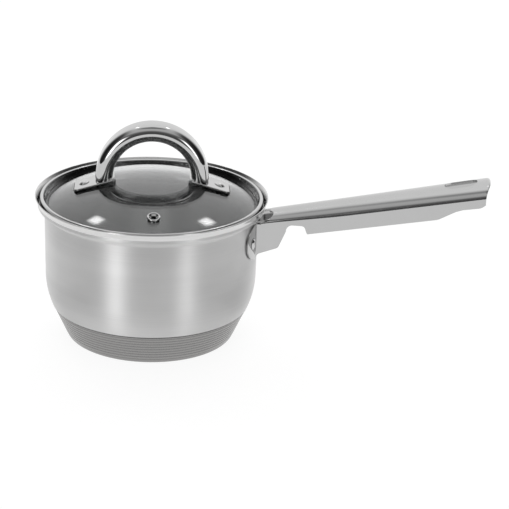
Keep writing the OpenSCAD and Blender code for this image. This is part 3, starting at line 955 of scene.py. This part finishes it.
def lid_band(material):
    """Steel band round the glass: lip, rolled top, wall, the slope on the pan's seat, and skirt."""
    lip_z, wall_r = dome_z(BAND_LIP, FIT), BEAD_MID[0] + BEAD_R
    line = (
        [(BAND_LIP, lip_z), (BAND_LIP + 0.2, lip_z + 0.25)] + arc(BEAD_MID, BEAD_R, 190, 0, 32)
        + [(wall_r, 104.6), (wall_r - 0.1, 103.6), (83.7, 102.95)]
        + [(80.9, 100.9), (80.2, 100.6), (79.5, 100.3), (SKIRT_R, 99.7)]
        + [(SKIRT_R, SKIRT_END + 0.1), (SKIRT_R - 0.1, SKIRT_END)])
    piece = lathe("lid_rim_band_ring", ribbon(line, BAND_T), material, segments=360)
    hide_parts("lid_rim_band")
    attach(piece, LID)


def rounded_section(width, height, radius, steps=10):
    """Outline of a rectangle with round corners, about its middle."""
    points = []
    for sx, sy, start in ((1, 1, 0), (-1, 1, 90), (-1, -1, 180), (1, -1, 270)):
        mid = (sx * (width / 2 - radius), sy * (height / 2 - radius))
        points += arc(mid, radius, start, start + 90, steps)
    return points


def arch_handle(material):
    """Hollow arch: a rounded section swept up one leg, over the half circle and down the other."""
    middle = (ARCH_OUT + ARCH_IN) / 2
    clearance = FIT / 2
    section = rounded_section(ARCH_OUT - ARCH_IN, ARCH_W, ARCH_CORNER)
    turn = Matrix.Rotation(math.radians(LID_TURN), 4, "Z")
    lean = math.asin(FOOT_R / DOME_R)
    foot_slope = math.tan(lean)
    foot_top = dome_z(FOOT_R) + (TAB_LOW + TAB_T + clearance) / math.cos(lean)
    bm = bmesh.new()
    rings = []

    def leg(side, share):
        """A ring between the foot (share 0), cut to the tab's slope, and the arch (share 1)."""
        ring = []
        for out, across in section:
            inward = FOOT_R - (middle + out)
            low = foot_top + inward * foot_slope
            ring.append((side * (middle + out), across, low + (ARCH_Z - low) * share))
        return ring

    paths = [leg(1, k / LEG_STEPS) for k in range(LEG_STEPS)]
    for k in range(ARCH_STEPS + 1):
        angle = math.pi * k / ARCH_STEPS
        paths.append([
            ((middle + out) * math.cos(angle), across, ARCH_Z + (middle + out) * math.sin(angle))
            for out, across in section])
    paths += [leg(-1, k / LEG_STEPS) for k in reversed(range(LEG_STEPS))]
    for path in paths:
        rings.append([bm.verts.new(mm(turn @ Vector(point))) for point in path])
    count = len(section)
    for first, second in zip(rings, rings[1:]):
        for j in range(count):
            k = (j + 1) % count
            bm.faces.new((first[j], first[k], second[k], second[j]))
    piece = finish_mesh("lid_handle_arch_shell", bm, material, sharp=60)
    add_modifier(piece, "SOLIDIFY", thickness=mm(ARCH_WALL), offset=-1)
    soft_edges(piece, 0.3, segments=2, angle=50)
    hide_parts("lid_handle_arch")
    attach(piece, LID)


def foot_plan(out, inwards, half, corner, steps):
    """Plan of a plate about its rivet: round corners outwards, square ones inwards."""
    mid_x, mid_y = out - corner, half - corner
    return (
        arc((mid_x, mid_y), corner, 90, 0, steps) + arc((mid_x, -mid_y), corner, 0, -90, steps)
        + [(-inwards, -half), (-inwards, half)])[::-1]


def lid_feet(steel, rivet_steel, silicone):
    """Both feet of the arch: tab, the silicone pad under it, and the rivet through both."""
    half = TAB_W / 2
    outline = foot_plan(TAB_OUT, TAB_IN, half, TAB_CORNER, 8)
    pad = foot_plan(PAD_OUT, PAD_IN, half - PAD_MARGIN, PAD_CORNER, 6)
    shank_r, shank_low = 1.95, -6.2
    tail = [(0, -7.4), (2.4, -7.35), (3.3, -6.9), (3.6, -6.3), (3.5, shank_low)]
    rivet_line = tail + rivet_outline(4.0, 1.7, shank_r, shank_low, 2.1)[1:]
    for name, angle in (("right", 0), ("left", 180)):
        place = on_dome(FOOT_R, angle)
        tab = plate(
            f"lid_foot_tab_{name}", outline, TAB_LOW, TAB_LOW + TAB_T, steel, place, TAB_SOFTNESS)
        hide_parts(f"lid_handle_foot_{name}")
        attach(tab, LID)
        cushion = plate(
            f"lid_pad_{name}_cushion", pad, PAD_LOW, PAD_HIGH, silicone, place, PAD_SOFTNESS)
        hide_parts(f"lid_pad_{name}")
        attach(cushion, LID)
        rivet = lathe(
            f"lid_rivet_{name}_head", rivet_line, rivet_steel, place, RIVET_SEGMENTS, 50)
        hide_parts(f"lid_rivet_{name}")
        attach(rivet, LID)


def steam_vent(steel):
    """The eyelet: a tube through the glass with a dished collar on top and a flange below."""
    bore_r, tube_r, lip_r = 2.0, 2.8, 0.6
    outline = (
        [(bore_r, -6.0), (3.7, -6.0), (3.7, -5.5), (tube_r, -5.3), (tube_r, 0.7), (4.9, 0.7)]
        + arc((4.3, 1.0), lip_r, 0, 90, 8) + arc((4.0, 1.0), lip_r, 90, 140, 6)
        + [(2.3, 0.45), (bore_r, 0.3)])
    piece = lathe("vent_eyelet_turned", outline, steel, on_dome(VENT_R, VENT_BEARING), 72, 50)
    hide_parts("vent_eyelet")
    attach(piece, LID)


# ---------------------------------------------------------------- studio

# Brightness of the tent against height (share of the way from horizon to zenith)
TENT_FRONT = (
    (0.0, 0.10), (0.28, 0.11), (0.42, 0.24), (0.54, 0.62), (0.74, 0.70), (0.84, 0.32), (0.95, 0.22))
TENT_BACK = ((0.0, 1.0), (0.77, 1.13), (0.88, 0.95), (0.96, 0.22))
# Bearings, in degrees from the camera's side, between which the front gives way to the back
BACK_BEGINS = 100
BACK_FULL = 150
# Dim wings at both sides: bearing, half width and soft edge in degrees, height, half height
# and soft edge as shares, and what is left of the light there
WING = (92, 32, 12)
WING_HEIGHT = (0.15, 0.45, 0.08)
WING_SHADE = 0.2
# Lit panels: bearing, half width, height, half height (degrees), brightness, soft edge (degrees)
PANELS = (
    (-37, 8, 11, 14, 4.6, 5),
    (38, 6, 11, 14, 3.4, 5),
    (-151, 2.8, 51, 2.6, 6.0, 1),
    (151, 2.8, 51, 2.6, 6.0, 1),
)
FLOOR_GREY = (0.18, 0.19)
FLOOR_GLOW = 0.89
FLOOR_SIZE = 12


def height_ramp(tree, height, stops):
    """Brightness at a height, between (height, brightness) stops."""
    node = tree.nodes.new("ShaderNodeValToRGB")
    put(node.inputs["Fac"], height)
    elements = node.color_ramp.elements
    elements.remove(elements[1])
    elements[0].position, elements[0].color = stops[0][0], grey(stops[0][1])
    for position, level in stops[1:]:
        elements.new(position).color = grey(level)
    return node.outputs["Color"]


def studio_world():
    """A soft tent: bright behind, dim low in front and at the sides, with four lit panels."""
    world = bpy.data.worlds.new("studio")
    world.use_nodes = True
    tree = world.node_tree
    split = tree.nodes.new("ShaderNodeSeparateXYZ")
    put(split.inputs[0], tree.nodes.new("ShaderNodeTexCoord").outputs["Generated"])
    x, y, z = split.outputs
    turn = math_node(tree, "ARCTAN2", x, math_node(tree, "MULTIPLY", y, -1.0))
    from_camera = math_node(tree, "SUBTRACT", turn, math.radians(LID_TURN))
    bearing = math_node(tree, "WRAP", from_camera, math.pi, -math.pi)
    aside = math_node(tree, "ABSOLUTE", bearing)
    height = math_node(tree, "DIVIDE", math_node(tree, "ARCSINE", z), math.pi / 2)

    def window(value, middle, half, soft):
        """1 within half of middle, 0 beyond it, with a soft edge."""
        gap = math_node(tree, "ABSOLUTE", math_node(tree, "SUBTRACT", value, middle))
        return remap(tree, gap, half - soft, half + soft, 1.0, 0.0)

    def panel(middle, half, lift, tall, level, soft):
        """One lit panel, in degrees."""
        across = window(bearing, math.radians(middle), math.radians(half), math.radians(soft))
        share = math_node(tree, "MULTIPLY", across, window(height, lift / 90, tall / 90, soft / 90))
        return math_node(tree, "MULTIPLY", share, level)

    behind = remap(tree, aside, math.radians(BACK_BEGINS), math.radians(BACK_FULL), 0, 1)
    tent = mix_colours(
        tree, behind, height_ramp(tree, height, TENT_FRONT), height_ramp(tree, height, TENT_BACK))
    flank = window(aside, *map(math.radians, WING))
    wings = math_node(tree, "MULTIPLY", flank, window(height, *WING_HEIGHT))
    shaded = tree.nodes.new("ShaderNodeVectorMath")
    shaded.operation = "SCALE"
    put(shaded.inputs[0], tent)
    put(shaded.inputs["Scale"], remap(tree, wings, 0, 1, 1.0, WING_SHADE))
    panels = panel(*PANELS[0])
    for values in PANELS[1:]:
        panels = math_node(tree, "ADD", panels, panel(*values))
    both = tree.nodes.new("ShaderNodeVectorMath")
    put(both.inputs[0], shaded.outputs[0])
    put(both.inputs[1], combine(tree, panels, panels, panels))
    put(tree.nodes["Background"].inputs["Color"], both.outputs[0])
    bpy.context.scene.world = world


def studio_floor():
    """A pale table that glows, so that shadows stay faint."""
    material, tree, shader = new_material("studio_floor")
    x, y, z = object_axes(tree)
    mottle = noise(tree, combine(tree, x, y, z), 3, 2.0)
    put(shader.inputs["Base Color"], mix_colours(
        tree, mottle, grey(FLOOR_GREY[0]), grey(FLOOR_GREY[1])))
    shader.inputs["Roughness"].default_value = 0.9
    shader.inputs["Emission Color"].default_value = grey(1)
    shader.inputs["Emission Strength"].default_value = FLOOR_GLOW
    bm = bmesh.new()
    bmesh.ops.create_grid(bm, x_segments=8, y_segments=8, size=FLOOR_SIZE)
    floor = finish_mesh("studio_floor", bm, material)


# ---------------------------------------------------------------- building

make_camera()
studio_world()
studio_floor()

body_steel = turned_steel(
    "turned_body_steel", level=0.66, warmth=0.002, roughness=0.45, anisotropy=0.91,
    ring_scale=2600, bump=0.25, polished=0.2)
capsule_steel = turned_steel(
    "turned_capsule_steel", level=0.29, warmth=0.012, roughness=0.24, anisotropy=0.7,
    ring_scale=2600, bump=0.2, grooved=0.68)
sheet_steel = polished_steel(
    "buffed_sheet_steel", level=0.48, roughness=0.07, wear=0.02, scale=(0.12, 1, 1))
mirror_steel = polished_steel("mirror_steel", level=0.52, roughness=0.05, wear=0.02)
# The band gets painted shade on its inner lip, inside 81.7 mm from the axis
band_steel = polished_steel("band_steel", level=0.56, roughness=0.06, wear=0.02, painted_lip_shade_r=81.7)
rivet_metal = polished_steel("rivet_steel", level=0.55, roughness=0.07, wear=0.03)
glass = clear_glass()
silicone = dark_silicone()

pan_body(body_steel)
base_capsule(capsule_steel)
long_handle(sheet_steel)
handle_rivets(rivet_metal)
lid_glass(glass)
lid_band(band_steel)
arch_handle(mirror_steel)
lid_feet(mirror_steel, rivet_metal, silicone)
steam_vent(rivet_metal)

# CAD nodes that stay as they are, and the materials they get
CARRIED = {
    "heat_spreader": cast_aluminium(),
    "lid_inner_pad_left": silicone,
    "lid_inner_pad_right": silicone,
    "lid_washer_left": rivet_metal,
    "lid_washer_right": rivet_metal,
    "vent_gasket": silicone,
    "vent_collar": rivet_metal,
}
for node, material in CARRIED.items():
    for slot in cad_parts[node].material_slots:
        slot.material = material

bpy.context.scene.view_settings.view_transform = "Standard"
